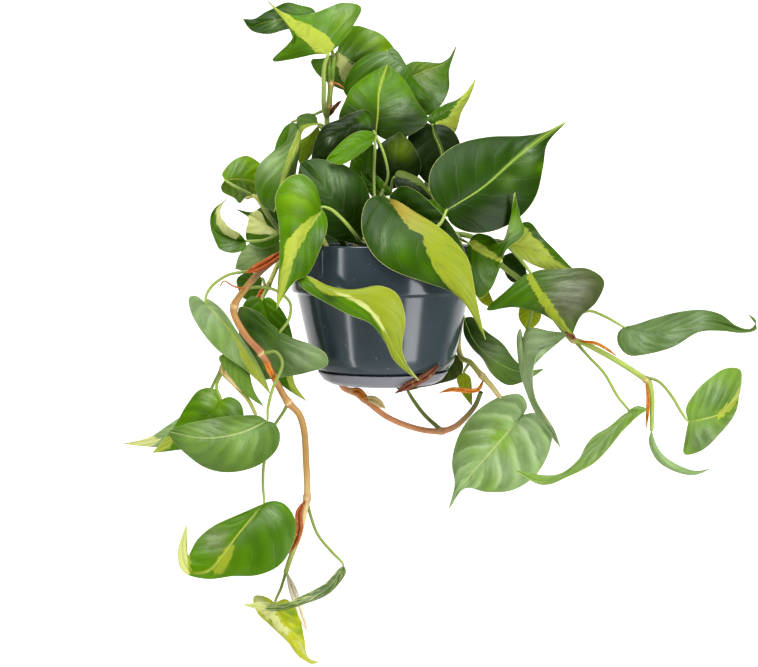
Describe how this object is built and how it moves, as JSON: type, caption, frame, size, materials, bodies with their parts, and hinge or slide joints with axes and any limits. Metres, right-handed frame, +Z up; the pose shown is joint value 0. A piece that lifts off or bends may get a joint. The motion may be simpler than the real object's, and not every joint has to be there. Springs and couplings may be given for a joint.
{
  "type": "potted brasil philodendron",
  "caption": "Trailing heart-leaved philodendron with lime-streaked leaves, growing from soil in a round hanging pot with a clipped-on saucer.",
  "frame": {"origin": "centre of the pot's rim, in the plane of its top edge, where a hanger takes hold", "axes": "+Z up, along the pot's axis; +X to the right and -Y towards the viewer of the picture's view"},
  "size_m": [0.5149, 0.2373, 0.5408],
  "materials": {
    "pot": "glossy moulded slate-grey plastic, with soft vertical highlights",
    "saucer": "satin lilac-grey plastic",
    "soil": "matt dark peat and bark crumbs",
    "tan_vine": "smooth tan to reddish-brown stem with pale node rings",
    "green_vine": "smooth olive-green stem",
    "dark_leaf": "satin dark green with lime streaks along the midrib",
    "green_leaf": "satin mid green with lime streaks",
    "lime_leaf": "satin lime with green flames",
    "pale_leaf": "satin pale grey-green with light veins",
    "sheath": "dry papery brown sheath"
  },
  "bodies": {
    "root": {"top_leaf": "lime_leaf", "top_back_leaf": "dark_leaf", "quilted_leaf": "green_leaf", "dark_shoulder_leaf": "dark_leaf", "centre_leaf": "green_leaf", "upper_right_leaf": "dark_leaf", "lime_spear_leaf": "lime_leaf", "shadow_leaf": "dark_leaf", "big_right_leaf": "dark_leaf", "hidden_point_leaf": "dark_leaf", "lime_edged_leaf": "green_leaf", "under_fold_leaf": "dark_leaf", "olive_point_leaf": "green_leaf", "small_light_leaf": "green_leaf", "crescent_leaf": "dark_leaf", "dark_front_leaf": "dark_leaf", "big_front_leaf": "dark_leaf", "left_front_leaf": "green_leaf", "pot_front_leaf": "lime_leaf", "sheen_leaf": "pale_leaf", "left_upright_leaf": "green_leaf", "curled_leaf": "green_leaf", "cream_band_leaf": "lime_leaf", "grey_green_leaf": "pale_leaf", "left_long_leaf": "pale_leaf", "left_round_leaf": "pale_leaf", "left_dark_leaf": "dark_leaf", "heart_leaf": "green_leaf", "tailed_leaf": "green_leaf", "large_veined_leaf": "pale_leaf", "low_left_leaf": "green_leaf", "low_edge_leaf": "green_leaf", "end_leaf": "lime_leaf", "spike_leaf": "green_leaf", "lime_side_leaf": "lime_leaf", "grey_right_leaf": "dark_leaf", "drooping_leaf": "green_leaf", "right_edge_leaf": "green_leaf", "far_right_leaf": "green_leaf", "long_tipped_leaf": "green_leaf", "low_heart_leaf": "pale_leaf", "back_right_leaf": "dark_leaf", "under_right_leaf": "dark_leaf", "crown_vine": "green_vine", "middle_vine": "green_vine", "front_vine": "green_vine", "back_vine": "green_vine", "right_vine": "green_vine", "left_vine": "tan_vine", "back_left_vine": "green_vine", "upper_left_vine": "green_vine", "under_pot_vine": "tan_vine", "right_back_vine": "tan_vine", "back_trailing_vine": "tan_vine", "back_right_leafy_vine": "tan_vine", "loose_sheath": "sheath", "soil": "soil", "saucer": "saucer", "pot": "pot"}
  },
  "joints": []
}
